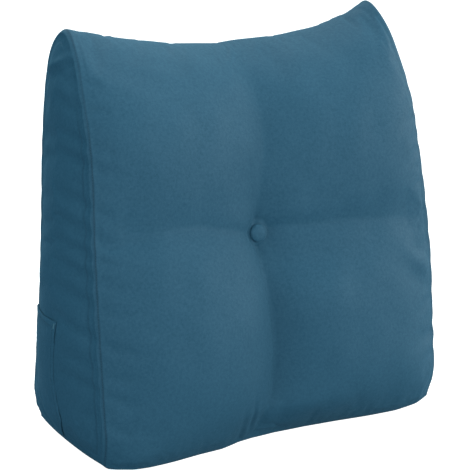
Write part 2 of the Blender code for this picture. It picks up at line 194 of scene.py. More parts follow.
# height, depth, half width, crown, upright crease, drift of that crease
seamRows = [
    (0.001, -0.1070, 0.2262, 0.002, 0.003, -0.031),
    (0.020, -0.1085, 0.2275, 0.014, 0.016, -0.025),
    (0.065, -0.1035, 0.2285, 0.032, 0.031, -0.011),
    (0.120, -0.0980, 0.2282, 0.039, 0.036, -0.005),
    (0.190, -0.0910, 0.2278, 0.038, 0.038, -0.006),
    (0.268, -0.0795, 0.2245, 0.032, 0.039, -0.010),
    (0.328, -0.0695, 0.2202, 0.033, 0.035, -0.006),
    (0.380, -0.0575, 0.2176, 0.030, 0.028, 0.005),
    (0.428, -0.0355, 0.2142, 0.024, 0.019, 0.007),
    (0.466, -0.0110, 0.2095, 0.012, 0.009, 0.012),
    (0.490, 0.0260, 0.2045, 0.003, 0.003, 0.018),
    (0.470, 0.0560, 0.2080, 0.012, 0.000, 0.000),
    (0.425, 0.0660, 0.2135, 0.020, 0.000, 0.000),
    (0.350, 0.0690, 0.2190, 0.028, 0.000, 0.000),
    (0.260, 0.0670, 0.2240, 0.032, 0.000, 0.000),
    (0.170, 0.0740, 0.2262, 0.032, 0.000, 0.000),
    (0.090, 0.0860, 0.2262, 0.026, 0.000, 0.000),
    (0.035, 0.0980, 0.2260, 0.013, 0.000, 0.000),
    (0.001, 0.1010, 0.2262, 0.001, 0.000, 0.000),
]

# share of the half width, depth, height
levelCrease = [
    (-1.00, 0.002, 0.272),
    (-0.85, 0.009, 0.280),
    (-0.43, 0.019, 0.285),
    (-0.18, 0.023, 0.275),
    (-0.04, 0.028, 0.268),
    (0.10, 0.024, 0.274),
    (0.50, 0.018, 0.268),
    (0.85, 0.009, 0.250),
    (1.00, 0.002, 0.236),
]

# share of the half width, how far the foot is drawn in
footLine = [
    (-1.00, 0.012),
    (-0.94, 0.004),
    (-0.87, -0.001),
    (-0.78, -0.002),
    (-0.64, 0.000),
    (-0.48, 0.004),
    (-0.34, 0.005),
    (-0.21, 0.013),
    (0.00, 0.017),
    (0.19, 0.016),
    (0.38, 0.012),
    (0.57, 0.006),
    (0.75, 0.002),
    (0.90, 0.004),
    (1.00, 0.012),
]

# height, swell of the side panel
sideCrown = [
    (0.000, 0.0190),
    (0.050, 0.0210),
    (0.160, 0.0215),
    (0.280, 0.0170),
    (0.400, 0.0115),
    (0.452, 0.0095),
    (0.490, 0.0020),
]

# Soft folds in the front: both ends as x and height, half width, height out of the cloth
frontFolds = [
    (-0.051, 0.004, -0.057, 0.062, 0.0042, -0.0022),
    (-0.044, 0.004, -0.050, 0.056, 0.0050, 0.0011),
    (-0.037, 0.016, -0.042, 0.084, 0.0036, -0.0021),
    (-0.031, 0.008, -0.036, 0.068, 0.0046, 0.0014),
    (0.006, 0.006, 0.002, 0.060, 0.009, -0.0018),
    (0.228, 0.145, 0.160, 0.203, 0.012, -0.0015),
    (0.228, 0.170, 0.165, 0.226, 0.009, 0.0018),
    (0.228, 0.092, 0.185, 0.106, 0.010, -0.0012),
    (0.215, 0.372, 0.180, 0.350, 0.010, -0.0014),
    (-0.225, 0.262, -0.150, 0.276, 0.008, -0.0018),
    (-0.200, 0.468, -0.140, 0.440, 0.012, -0.0016),
    (-0.190, 0.484, -0.060, 0.470, 0.010, 0.0017),
    (-0.150, 0.462, -0.085, 0.452, 0.007, 0.0010),
]

# Soft folds in the left side panel, by its ear and at its lower back corner:
# both ends as depth and height, half width, height out of the cloth
leftFolds = [
    (-0.040, 0.4800, 0.050, 0.4440, 0.0036, 0.0024),
    (-0.040, 0.4690, 0.050, 0.4310, 0.0055, -0.0012),
    (0.0476, 0.0685, 0.0247, 0.0520, 0.0045, 0.0016),
    (0.0247, 0.0520, -0.0107, 0.0327, 0.0045, 0.0016),
]

# Fuller or flatter parts of the four lobes: x, height up the seam, reach across, reach upward, rise
lobeFullness = [
    (-0.105, 0.140, 0.070, 0.075, 0.0030),
    (0.160, 0.355, 0.070, 0.080, 0.0030),
    (0.050, 0.150, 0.045, 0.080, 0.0030),
]

# Where the side seams are drawn up: length up the seam from the foot, dent on the front, dent on the side
puckersLeft = [
    (0.0595, 0.0005, 0.0010),
    (0.0935, 0.0010, 0.0024),
    (0.1170, 0.0007, 0.0016),
    (0.1545, 0.0013, 0.0036),
    (0.1935, 0.0012, 0.0026),
    (0.2245, 0.0008, 0.0024),
    (0.2495, 0.0010, 0.0024),
    (0.2745, 0.0014, 0.0028),
    (0.3051, 0.0013, 0.0036),
    (0.3514, 0.0012, 0.0030),
    (0.3765, 0.0008, 0.0026),
    (0.4165, 0.0006, 0.0020),
    (0.4490, 0.0003, 0.0014),
]
puckersRight = [
    (0.034, 0.0008, 0.0016),
    (0.070, 0.0014, 0.0024),
    (0.098, 0.0018, 0.0028),
    (0.140, 0.0010, 0.0018),
    (0.176, 0.0008, 0.0016),
    (0.214, 0.0011, 0.0020),
    (0.252, 0.0010, 0.0018),
    (0.290, 0.0007, 0.0014),
    (0.330, 0.0016, 0.0022),
    (0.349, 0.0018, 0.0024),
    (0.368, 0.0016, 0.0020),
    (0.400, 0.0008, 0.0014),
]
puckerShape = {
    "width": 0.0070,
    "frontReach": 0.017,
    "sideReach": 0.040,
    "frontStart": 0.0025,
    "sideStart": 0.0050,
    "frontSlant": -0.35,
    "sideSlant": 0.22,
    "spread": 7.0,
    "swell": 0.35,
    "swellAt": 1.7,
    "backShare": 0.25,
    "backShift": 0.011,
}

# Profile of the side panel across its seam: distance from the stitching, height
seamProfile = [
    (0.0000, -0.0003),
    (0.0009, 0.0004),
    (0.0019, 0.0017),
    (0.0031, 0.0021),
    (0.0047, 0.0011),
    (0.0070, 0.0006),
    (0.0098, 0.0006),
    (0.0122, 0.0002),
    (0.0145, -0.0004),
    (0.0190, 0.0000),
    (0.3000, 0.0000),
]
bandSteps = [distance for distance, rise in seamProfile[:9]]
seamDitch = {
    "depth": 0.0011,
    "reach": 0.0009,
    # depth and reach dent the cloth; shade, lineShade and the settings after them are painted shade in the
    # colour, darker in the ditch and along a line beside it
    "shade": 0.62,
    "shadeReach": 0.0007,
    "lineAt": 0.0122,
    "lineWidth": 0.0012,
    "lineShade": 0.30,
    "lineTop": (0.44, 0.38),
    "earShare": 0.45,
    "earFade": (0.36, 0.42),
}

# Short wrinkles that run out from the button: angle from +x in degrees, length, half width, depth
buttonWrinkles = [
    (20, 0.030, 0.0035, 0.0012),
    (63, 0.024, 0.0032, 0.0010),
    (98, 0.040, 0.0040, 0.0016),
    (135, 0.026, 0.0034, 0.0012),
    (176, 0.036, 0.0040, 0.0015),
    (214, 0.026, 0.0034, 0.0013),
    (262, 0.038, 0.0040, 0.0016),
    (305, 0.026, 0.0032, 0.0011),
    (343, 0.022, 0.0030, 0.0010),
]


def unevenShares(spacing, end, count):
    # Shares from 0 to 1, as close together at each place as the short table says
    place, gap = tableColumns(spacing)
    fine = np.linspace(0, end, 4001)
    density = np.cumsum(1 / np.interp(fine, place, gap))
    density = (density - density[0]) / (density[-1] - density[0])
    return np.interp(np.linspace(0, 1, count + 1), density, fine) / end


def seamStations(rows):
    curve = smoothCurve(np.array(rows))
    peak = int(np.argmax(curve[:, 0]))
    turnFront = int(np.argmin(np.abs(curve[:peak, 0] - coverSize["frontTop"])))
    turnBack = peak + int(np.argmin(np.abs(curve[peak:, 0] - coverSize["frontTop"])))
    rise = unevenShares(rowSpacing, curve[turnFront, 0], coverMesh["frontRows"])
    front = resampleCurve(curve[: turnFront + 1], rise)
    top = resampleCurve(curve[turnFront : turnBack + 1], np.linspace(0, 1, coverMesh["topRows"] + 1))
    back = resampleCurve(curve[turnBack:], 1 - rise[::-1])
    stations = np.vstack([front, top[1:-1], back])
    along = lengthAlong(stations[:, :2])
    dz, dy = np.gradient(stations[:, 0], along), np.gradient(stations[:, 1], along)
    size = np.hypot(dz, dy)
    return stations, np.stack([-dz / size, dy / size], axis=1), along


def acrossShares():
    # Columns from the left seam to the right one, closer together by the seams and the upright crease
    spacing = [((place + 1) / 2, gap) for place, gap in columnSpacing]
    return 2 * unevenShares(spacing, 1.0, coverMesh["columns"]) - 1


def foldHeight(folds, x, z):
    total = np.zeros(np.broadcast(x, z).shape)
    for x0, z0, x1, z1, width, rise in folds:
        run = math.hypot(x1 - x0, z1 - z0)
        ux, uz = (x1 - x0) / run, (z1 - z0) / run
        along = ((x - x0) * ux + (z - z0) * uz) / run
        aside = (x - x0) * uz - (z - z0) * ux
        ends = blendOver(along, -0.15, 0.25) * blendOver(along, 1.15, 0.6)
        total = total + rise * bell(aside, width) * ends
    return total


def fromButton(x, z):
    return np.hypot(x - coverSize["tuftX"], z - coverSize["tuftHeight"])


def creaseFall(distance, reach, tight, tightReach):
    return (1 - tight) * np.exp(-distance / reach) + tight * np.exp(-distance / tightReach)


def creaseDepth(x, half, z, crease, drift):
    size, blend = coverSize, coverBlend
    reach = fromButton(x, z)
    soften = blendOver(reach, *blend["creaseSoften"])
    soft = size["creaseRoundNear"] * (1 - soften) + size["creaseRoundFar"] * soften
    # Above the button the cloth rolls in from the left and turns sharply on the right
    low, high = blend["rollAbove"]
    upper = blendOver(z, size["tuftHeight"] + low, size["tuftHeight"] + high)
    leftSide = blendOver(x - drift, *blend["rollAcross"])
    roll = soft + (size["creaseRoll"] - soft) * upper * leftSide
    # Just below the button the right side falls away gently
    gentle = bell(z - size["gentleHeight"], size["gentleReach"])
    wider = np.maximum(upper, gentle)
    reachRight = size["creaseReach"] + (size["creaseReachRight"] - size["creaseReach"]) * wider
    acrossReach = np.where(x > drift, reachRight, size["creaseReach"])
    aside = np.sqrt((x - drift) ** 2 + roll**2) - roll
    share, depth, height = tableColumns(levelCrease)
    above = np.sqrt((z - np.interp(x / half, share, height)) ** 2 + soft**2) - soft
    falling = creaseFall(above, size["creaseReach"], size["levelTight"], size["levelTightReach"])
    level = np.interp(x / half, share, depth) * falling
    # From just below the button up, its right side falls away more broadly
    broad = blendOver(z, *blend["broadHeight"]) * (x > drift)
    tight = size["uprightTight"] + (size["uprightTightRight"] - size["uprightTight"]) * broad
    tight = tight * blendOver(z, *blend["creaseTop"]) * (1 - upper * leftSide) * (1 - gentle * (x > drift))
    falling = creaseFall(aside, acrossReach, tight, size["uprightTightReach"])
    upright = crease * falling * (1 - np.abs(x / half) ** size["creaseEndPower"])
    tuft = size["tuftPull"] * np.exp(-reach / size["tuftReach"])
    return (level**3 + upright**3) ** (1 / 3) + tuft


def puckerDent(puckers, along, distance, column, face):
    # Each pucker slants across the seam, and swells the cloth a little on both sides of itself
    total = np.zeros(np.broadcast(along, distance).shape)
    slant = puckerShape[face + "Slant"]
    start = puckerShape[face + "Start"]
    fade = np.exp(-distance / puckerShape[face + "Reach"]) * (1 - np.exp(-distance / start))
    for row in puckers:
        width = puckerShape["width"] * (1 + puckerShape["spread"] * distance)
        away = (along - row[0] - slant * distance) / width
        swell = puckerShape["swell"] * bell(np.abs(away) - puckerShape["swellAt"], 1)
        total = total + row[column] * (bell(away, 1) - swell)
    return total * fade


def wrapPoints(s):
    size, blend = coverSize, coverBlend
    stations, normals = seamPlaces, seamNormals
    z0, y0, half, crown, crease, drift = (stations[:, i][:, None] for i in range(6))
    onFront = (np.arange(len(stations)) < np.argmax(stations[:, 0]) + 1)[:, None]
    s = np.asarray(s)[None, :]
    x = s * half
    along = seamAlong[:, None]
    fromSeam = (1 - np.abs(s)) * half
    depth = creaseDepth(x, half, z0, crease, drift)
    # The lobes' swell, with a rounder shoulder beside each seam
    shoulder = size["shoulder"] * crown / seamRows[3][3]
    out = (crown - shoulder) * (1 - np.abs(s) ** size["crownPower"])
    out = out + shoulder * (1 - np.exp(-fromSeam / size["shoulderReach"]))
    out = out - np.where(onFront, depth, 0) * blendOver(crease, *blend["creaseStart"])
    out = out + np.where(onFront, foldHeight(frontFolds, x, z0), 0)
    for middle, height, reachAcross, reachUp, rise in lobeFullness:
        near = np.exp(-(((x - middle) / reachAcross) ** 2) - ((z0 - height) / reachUp) ** 2)
        out = out + np.where(onFront, rise * near, 0)
    for angle, length, width, dent in buttonWrinkles:
        turn = math.radians(angle)
        forward = (x - size["tuftX"]) * math.cos(turn) + (z0 - size["tuftHeight"]) * math.sin(turn)
        aside = (z0 - size["tuftHeight"]) * math.cos(turn) - (x - size["tuftX"]) * math.sin(turn)
        fade = blendOver(forward, *blend["wrinkleStart"]) * np.exp(-forward / length)
        out = out - np.where(onFront, dent * bell(aside, width) * fade, 0)
    # The button's seat is let in flat
    seat = 1 - blendOver(fromButton(x, z0), size["seatRadius"], size["seatRadius"] + size["seatBlend"])
    seat = np.where(onFront, seat, 0)
    out = out * (1 - seat) - size["seatDepth"] * seat
    out = out * (1 - np.abs(s) ** size["seamPower"])
    lumps = sum(rise * unevenNoise(x, along, *waves) for rise, *waves in coverLumps)
    lumps = lumps * blendOver(fromSeam, *blend["lumpSeam"]) * (1 - seat)
    out = out + lumps * blendOver(z0, *blend["lumpFoot"])
    frontLeft = puckerDent(puckersLeft, along, fromSeam, 1, "front")
    frontRight = puckerDent(puckersRight, along, fromSeam, 1, "front")
    backDent = puckerDent(puckersRight, along[-1] - along, fromSeam, 1, "front")
    dent = np.where(s < 0, frontLeft, frontRight)
    out = out - np.where(onFront, dent, size["backDent"] * backDent)
    ditch = seamDitch["depth"] * bell(fromSeam, seamDitch["reach"])
    out = out - ditch * blendOver(z0, *blend["ditchFoot"])
    low = blendOver(z0, *blend["footTurn"])
    earRise = np.where(s > 0, size["earRiseRight"], size["earRiseLeft"])
    lift = size["cornerLift"] * np.abs(s) ** size["cornerPower"] * low
    lift = lift + earRise * np.abs(s) ** size["earPower"] * blendOver(z0, *blend["earRise"])
    share, drawn = tableColumns(footLine)
    heel = -size["heelSetback"] * np.abs(s) ** size["heelPower"]
    turnedIn = np.where(onFront, np.interp(s, share, drawn), heel)
    power = np.where(s > 0, size["dipPowerRight"], size["dipPowerLeft"])
    dip = size["topDip"] * (1 - np.abs(s) ** power)
    y = y0 + normals[:, 0:1] * out + turnedIn * low
    z = (z0 + normals[:, 1:2] * out) * (1 - dip / size["earHeight"]) + lift
    return np.stack([x + 0 * y, y, np.maximum(z, 0)], axis=2)


def basePoints(first, last):
    # The base between the foot and the heel, lifted at its seam and flat inside it
    rows = coverMesh["baseRows"]
    share = np.linspace(0, 1, rows + 1)[1:-1][:, None, None]
    # Closer together by both seams
    share = 0.5 - 0.38 * np.cos(share * math.pi) + 0.24 * (share - 0.5)
    grid = first[None] * (1 - share) + last[None] * share
    rimX = np.minimum(grid[:, :, 0] - grid[:, :1, 0], grid[:, -1:, 0] - grid[:, :, 0])
    rimY = np.minimum(grid[:, :, 1] - first[None, :, 1], last[None, :, 1] - grid[:, :, 1])
    rim = np.minimum(np.abs(rimX), rimY)
    grid[:, :, 2] *= (1 - np.clip(rim / coverSize["baseRound"], 0, 1)) ** 2
    return grid


def sidePanel(loop, wrapCount, puckers):
    # Bands of points that follow the seam, then rows from the front to the back inside them
    side = math.copysign(1, loop[0, 0])
    blend, shift = coverBlend, puckerShape["backShift"]
    flat = loop[:, 1:]
    edge, under = flat[:wrapCount], flat[wrapCount:]
    along = lengthAlong(edge)
    tangent = np.stack([np.gradient(edge[:, 0], along), np.gradient(edge[:, 1], along)], axis=1)
    tangent /= np.linalg.norm(tangent, axis=1)[:, None]
    inward = np.stack([tangent[:, 1], -tangent[:, 0]], axis=1)
    mitre = 0.03
    fromFoot, fromHeel = along, along[-1] - along
    lean = np.clip(1 - fromFoot / mitre, 0, 1) - np.clip(1 - fromHeel / mitre, 0, 1)
    push = inward + tangent * lean[:, None]
    towardFoot = np.array([-1.0, 0.0])
    heelGap = np.abs(under[:, 0] - edge[-1, 0])
    footGap = np.abs(under[:, 0] - edge[0, 0])
    lean = np.clip(1 - heelGap / mitre, 0, 1) - np.clip(1 - footGap / mitre, 0, 1)
    push = np.vstack([push, np.array([0.0, 1.0]) + towardFoot * lean[:, None]])
    bands = np.stack([flat + push * step for step in bandSteps], axis=1)
    rows, columns = (wrapCount - 1) // 2, coverMesh["baseRows"]
    inner = bands[:, -1]
    share = np.linspace(0, 1, columns + 1)[None, :, None]
    front, back = inner[: rows + 1, None], inner[wrapCount - 1 : rows - 1 : -1, None]
    core = front * (1 - share) + back * share
    bottom = np.vstack([inner[:1], inner[wrapCount:][::-1], inner[wrapCount - 1 : wrapCount]])
    spread = blendOver(np.arange(rows + 1), *blend["coreFoot"])[:, None, None]
    straight = inner[0] * (1 - share[0]) + inner[wrapCount - 1] * share[0]
    core += (bottom - straight)[None] * spread
    core[0] = bottom
    peak = int(np.argmax(edge[:, 1]))
    rising, falling = loop[: peak + 1], loop[peak:wrapCount][::-1]

    def surface(points, distance, length, frontShare):
        y, z = points[..., 0], points[..., 1]
        yFront = np.interp(z, rising[:, 2], rising[:, 1])
        yBack = np.interp(z, falling[:, 2], falling[:, 1])
        xFront = np.interp(z, rising[:, 2], np.abs(rising[:, 0]))
        xBack = np.interp(z, falling[:, 2], np.abs(falling[:, 0]))
        width = np.maximum(yBack - yFront, 0.001)
        share = np.clip((y - yFront) / width, 0, 1)
        height, crown = tableColumns(sideCrown)
        swell = np.interp(z, height, crown) * (1 - np.abs(2 * share - 1) ** coverSize["sidePower"])
        swell = swell * (1 - (1 - np.clip(z / coverSize["sideFoot"], 0, 1)) ** 2)
        gap, rise = tableColumns(seamProfile)
        ridge = np.interp(distance, gap, rise) * blendOver(z, *blend["ridgeFoot"])
        ridge = ridge * (1 - blendOver(distance, *blend["ridgeSeam"]) * blendOver(z, *blend["ridgeTop"]))
        dent = puckerDent(puckers, length, distance, 2, "side") * frontShare
        if side < 0:
            dent = dent - foldHeight(leftFolds, y, z) * blendOver(distance, *blend["leftFoldSeam"])
        lumps = coverSize["sideLump"] * unevenNoise(y, z, 21 if side < 0 else 22, 7, 25, 70)
        lumps = lumps * blendOver(distance, *blend["sideLumpSeam"])
        return side * (xFront * (1 - share) + xBack * share + swell + ridge - dent + lumps)

    alongLoop = np.where(fromFoot < fromHeel, fromFoot, fromHeel + shift)
    alongLoop = np.concatenate([alongLoop, np.full(len(under), -1.0)])
    distance = np.array(bandSteps)[None, :] + 0 * bands[..., 0]
    onFront = np.concatenate([fromFoot < fromHeel, np.ones(len(under), bool)])[:, None]
    frontShare = np.where(onFront, 1.0, puckerShape["backShare"])
    bandX = surface(bands, distance, alongLoop[:, None] + 0 * distance, frontShare)
    bandX[:, 0] = loop[:, 0]
    last = bandSteps[-1]
    gapFront = np.linalg.norm(core - front, axis=2) + last
    gapBack = np.linalg.norm(core - back, axis=2) + last
    gapFoot = np.maximum(core[..., 1] - coverSize["footBand"], last)
    distance = np.minimum(np.minimum(gapFront, gapBack), gapFoot)
    length = alongLoop[: rows + 1, None] + np.where(gapFront < gapBack, 0, shift)
    backShare = 1 - (1 - puckerShape["backShare"]) * blendOver(gapFront - gapBack, *blend["backShare"])
    coreX = surface(core, distance, length, backShare)
    return np.concatenate([bandX[..., None], bands], axis=2), np.concatenate([coreX[..., None], core], axis=2)


def gridFaces(ids, flip=False, loops=False):
    if loops:
        ids = np.vstack([ids, ids[:1]])
    a, b, c, d = ids[:-1, :-1], ids[:-1, 1:], ids[1:, 1:], ids[1:, :-1]
    quads = np.stack([a, b, c, d], axis=-1).reshape(-1, 4)
    return quads[:, ::-1] if flip else quads


def coverFaces(grids):
    faces = [gridFaces(grids["wrap"]), gridFaces(grids["base"][::-1])]
    for side, flip in (("Left", True), ("Right", False)):
        faces.append(gridFaces(grids["band" + side], flip, loops=True))
        faces.append(gridFaces(grids["core" + side], flip))
    quads = np.vstack(faces)
    result = []
    for quad in quads.tolist():
        corner = list(dict.fromkeys(quad))
        if len(corner) > 2:
            result.append(corner)
    return result


seamPlaces, seamNormals, seamAlong = seamStations(seamRows)
seamPeak = int(np.argmax(seamPlaces[:, 0]))
coverShares = acrossShares()
seamGap = np.minimum(coverShares + 1, 1 - coverShares) * coverSize["halfWidth"]


def buildCover():
    wrap = wrapPoints(coverShares)
    base = basePoints(wrap[0], wrap[-1])
    rows, columns = wrap.shape[:2]
    under = coverMesh["baseRows"]
    wrapIds = np.arange(rows * columns).reshape(rows, columns)
    inside = rows * columns + np.arange((under - 1) * columns).reshape(under - 1, columns)
    baseIds = np.vstack([wrapIds[:1], inside, wrapIds[-1:]])
    points = [wrap.reshape(-1, 3), base.reshape(-1, 3)]
    count = (rows + under - 1) * columns
    grids = {"wrap": wrapIds, "base": baseIds}
    for side, edge, puckers in (("Left", 0, puckersLeft), ("Right", columns - 1, puckersRight)):
        loopIds = np.concatenate([wrapIds[:, edge], inside[::-1, edge]])
        loop = np.vstack(points[:2])[loopIds]
        bands, core = sidePanel(loop, rows, puckers)
        bandIds = count + np.arange(bands.shape[0] * (bands.shape[1] - 1)).reshape(bands.shape[0], -1)
        points.append(bands[:, 1:].reshape(-1, 3))
        count += bandIds.size
        bandIds = np.hstack([loopIds[:, None], bandIds])
        coreIds = -np.ones(core.shape[:2], int)
        half = coreIds.shape[0] - 1
        coreIds[:, 0] = bandIds[: half + 1, -1]
        coreIds[:, -1] = bandIds[rows - 1 : half - 1 : -1, -1]
        coreIds[0, 1:-1] = bandIds[rows:, -1][::-1]
        coreIds[-1] = bandIds[half, -1]
        fresh = coreIds < 0
        coreIds[fresh] = count + np.arange(fresh.sum())
        points.append(core[fresh])
        count += int(fresh.sum())
        grids["band" + side], grids["core" + side] = bandIds, coreIds
    return np.vstack(points), grids


coverPoints, coverGrids = buildCover()
print("stage: cover skin", len(coverPoints), "points")


def addItem(name, data):
    item = bpy.data.objects.new(name, data)
    bpy.context.scene.collection.objects.link(item)
    return item


def newObject(name, points, faces):
    mesh = bpy.data.meshes.new(name)
    mesh.from_pydata([tuple(map(float, point)) for point in points], [], faces)
    mesh.update()
    mesh.polygons.foreach_set("use_smooth", [True] * len(mesh.polygons))
    return addItem(name, mesh)


def dropObject(item):
    bpy.data.objects.remove(item, do_unlink=True)


def seamShade():
    # Painted shade: how strongly each point's colour is darkened in the ditch of a side seam, and more
    # faintly along the line behind it
    size, wrap = seamDitch, coverGrids["wrap"]
    shade = np.zeros(len(coverPoints))
    steps = np.array(bandSteps)
    line = size["shade"] * bell(steps, size["shadeReach"])
    second = size["lineShade"] * bell(steps - size["lineAt"], size["lineWidth"])
    # Both lines of painted shade are fainter towards the ears
    lineFade = 1 - (1 - size["earShare"]) * blendOver(coverPoints[wrap[:, 0], 2], *size["earFade"])
    shade[wrap] = size["shade"] * bell(seamGap, size["shadeReach"])[None, :] * lineFade[:, None]
    for side in ("Left", "Right"):
        band = coverGrids["band" + side]
        edgeFade = np.ones(len(band))
        edgeFade[: len(lineFade)] = lineFade
        fade = blendOver(coverPoints[band[:, 0], 2], *size["lineTop"])[:, None]
        shade[band] = np.maximum(shade[band], line[None, :] * edgeFade[:, None] + second[None, :] * fade)
        shade[band[wrap.shape[0]:]] = 0
    return shade


def setShade(item, values):
    # The painted seam shade, kept on the points for the cover material
    layer = item.data.attributes.new("paintedSeamShade", "FLOAT", "POINT")
    layer.data.foreach_set("value", np.asarray(values, np.float32))


def evenOut(field, rounds):
    for turn in range(rounds):
        padded = np.pad(field, ((1, 1), (1, 1)), mode="edge")
        field = (padded[:-2, 1:-1] + padded[2:, 1:-1] + padded[1:-1, :-2] + padded[1:-1, 2:] + 4 * field) / 8
    return field


# The cover, blown up like filled cloth between its seams, its base and its button

fillSim = {
    "frames": 20,
    "quality": 5,
    "mass": 0.3,
    "stiffness": 15.0,
    "shear": 5.0,
    "bending": 0.4,
    "pressure": 4.0,
    "slack": -0.012,
    "seamHold": 0.005,
    "baseHold": 0.006,
    "buttonHold": 0.016,
    "creaseHold": 0.5,
    "creaseHoldReach": 0.022,
    "holdSteps": 10,
    "topHold": 0.35,
    "topHoldReach": 0.035,
    "cap": 0.006,
    "share": 0.8,
    "evenRounds": 40,
    "wrinkleReach": 0.045,
}


def spreadOut(values, loops=False):
    # Values of every second row, with the rows between them
    following = np.roll(values, -1, axis=0)
    result = np.stack([values, (values + following) / 2], axis=1).reshape(-1, *values.shape[1:])
    return result if loops else result[:-1]


def fillHold(points, place):
    # 1 where the cloth is held: along the seams, on the base, under the button
    sim = fillSim
    hold = np.zeros(len(points))
    wrap = coverGrids["wrap"][::2, ::2]
    hold[place[wrap]] = blendOver(seamGap[::2], 2 * sim["seamHold"], sim["seamHold"])[None, :]
    for side in ("Left", "Right"):
        hold[place[coverGrids["band" + side][::2, ::2]]] = 1
    hold = np.maximum(hold, blendOver(points[:, 2], 2 * sim["baseHold"], sim["baseHold"]))
    reach = np.where(points[:, 1] < 0, fromButton(points[:, 0], points[:, 2]), 1.0)
    hold = np.maximum(hold, blendOver(reach, 1.5 * sim["buttonHold"], sim["buttonHold"]))
    # The creases and the top edge give way less than the lobes between them
    stations, across = seamPlaces[::2], coverShares[None, ::2]
    share, depth, level = tableColumns(levelCrease)
    aside = np.abs(across * stations[:, 2:3] - stations[:, 5:6])
    above = np.abs(stations[:, :1] - np.interp(across, share, level))
    near = bell(np.minimum(aside, above), sim["creaseHoldReach"])
    peak = int(np.argmax(stations[:, 0]))
    near[peak:] = 0
    fromTop = np.abs(seamAlong[::2] - seamAlong[2 * peak])[:, None]
    top = bell(fromTop, sim["topHoldReach"]) + 0 * near
    soft = np.maximum(sim["creaseHold"] * near, sim["topHold"] * top)
    hold[place[wrap]] = np.maximum(hold[place[wrap]], soft)
    return hold


def openWrinkles(field):
    # Away from the seams, the top and the foot only the broad part of the movement is kept
    broad = np.stack([evenOut(field[..., i], fillSim["evenRounds"]) for i in range(3)], axis=2)
    length = seamAlong[::2, None]
    fromTop = np.abs(length - length[int(np.argmax(seamPlaces[::2, 0]))])
    fromFoot = np.minimum(length, length[-1] - length)
    nearest = np.minimum(seamGap[None, ::2], np.minimum(fromTop, fromFoot))
    return broad + (field - broad) * bell(nearest, fillSim["wrinkleReach"])[..., None]


def runFill():
    sim = fillSim
    coarse = {name: ids[::2, ::2] for name, ids in coverGrids.items()}
    ids = np.unique(np.concatenate([grid.ravel() for grid in coarse.values()]))
    place = np.full(len(coverPoints), -1)
    place[ids] = np.arange(len(ids))
    start = coverPoints[ids]
    faces = [place[face].tolist() for face in coverFaces(coarse)]
    item = newObject("fillCloth", start, faces)
    group = item.vertex_groups.new(name="held")
    hold = fillHold(start, place)
    for step in range(1, sim["holdSteps"] + 1):
        chosen = np.flatnonzero(np.round(hold * sim["holdSteps"]) == step)
        if len(chosen):
            group.add(chosen.tolist(), step / sim["holdSteps"], "REPLACE")
    cloth = item.modifiers.new("fill", "CLOTH")
    cloth.collision_settings.use_collision = False
    cloth.point_cache.frame_start = 1
    cloth.point_cache.frame_end = sim["frames"]
    held = cloth.settings
    held.quality = sim["quality"]
    held.mass = sim["mass"]
    held.tension_stiffness = sim["stiffness"]
    held.compression_stiffness = sim["stiffness"]
    held.shear_stiffness = sim["shear"]
    held.bending_stiffness = sim["bending"]
    held.use_pressure = True
    held.uniform_pressure_force = sim["pressure"]
    held.shrink_min = sim["slack"]
    held.vertex_group_mass = "held"
    held.effector_weights.gravity = 0
    for step in range(1, sim["frames"] + 1):
        bpy.context.scene.frame_set(step)
    blown = item.evaluated_get(bpy.context.evaluated_depsgraph_get())
    moved = np.zeros(len(ids) * 3)
    blown.data.vertices.foreach_get("co", moved)
    item.modifiers.clear()
    dropObject(item)
    bpy.context.scene.frame_set(1)
    moved = moved.reshape(-1, 3) - start
    far = np.linalg.norm(moved, axis=1)
    print("stage: fill moved the cloth by", round(float(far.mean()), 5), round(float(far.max()), 5))
    moved *= (sim["share"] * np.minimum(1, sim["cap"] / np.maximum(far, 1e-9)))[:, None]
    wrap = place[coarse["wrap"]]
    moved[wrap[1:-1, 1:-1]] = openWrinkles(moved[wrap])[1:-1, 1:-1]
    result = coverPoints.copy()
    for name, grid in coverGrids.items():
        loops = name.startswith("band")
        rows = spreadOut(moved[place[coarse[name]]], loops)
        both = spreadOut(rows.swapaxes(0, 1)).swapaxes(0, 1)
        result[grid] = coverPoints[grid] + both
    result[:, 2] = np.maximum(result[:, 2], 0)
    return result


coverPoints = runFill()
cushionCover = newObject("cushionCover", coverPoints, coverFaces(coverGrids))
setShade(cushionCover, seamShade())
cushionSkin = BVHTree.FromPolygons([Vector(point) for point in coverPoints], coverFaces(coverGrids))


# The covered button in its dimple

buttonSize = {
    "radius": 0.0110,
    "height": 0.0045,
    "gap": 0.0003,
    "sides": 96,
    "gathers": 26,
    "gatherDepth": 0.00016,
    "gatherAt": 0.97,
    "gatherReach": 0.12,
    "tilt": 0.00012,
    "tiltTurn": 0.8,
    "probeShares": (0.3, 0.6, 0.9, 1.0),
    "probeHeight": 0.03,
}

# From the middle of the flat back over the rolled rim to the dome: share of the radius, share of the height
buttonProfile = [
    (0.45, 0.00),
    (0.80, 0.00),
    (0.93, 0.02),
    (0.985, 0.08),
    (1.00, 0.17),
    (0.99, 0.30),
    (0.96, 0.44),
    (0.90, 0.58),
    (0.81, 0.71),
    (0.69, 0.83),
    (0.53, 0.92),
    (0.36, 0.97),
    (0.18, 0.995),
]


def buttonPlace():
    # The middle of the dimple's floor and the way it faces
    front = seamPlaces[:seamPeak, 0]
    row = int(np.argmin(np.abs(front - coverSize["tuftHeight"])))
    facing = Vector((0, seamNormals[row, 0], seamNormals[row, 1])).normalized()
    return Vector(wrapPoints([coverSize["tuftX"] / seamPlaces[row, 2]])[row, 0]), facing


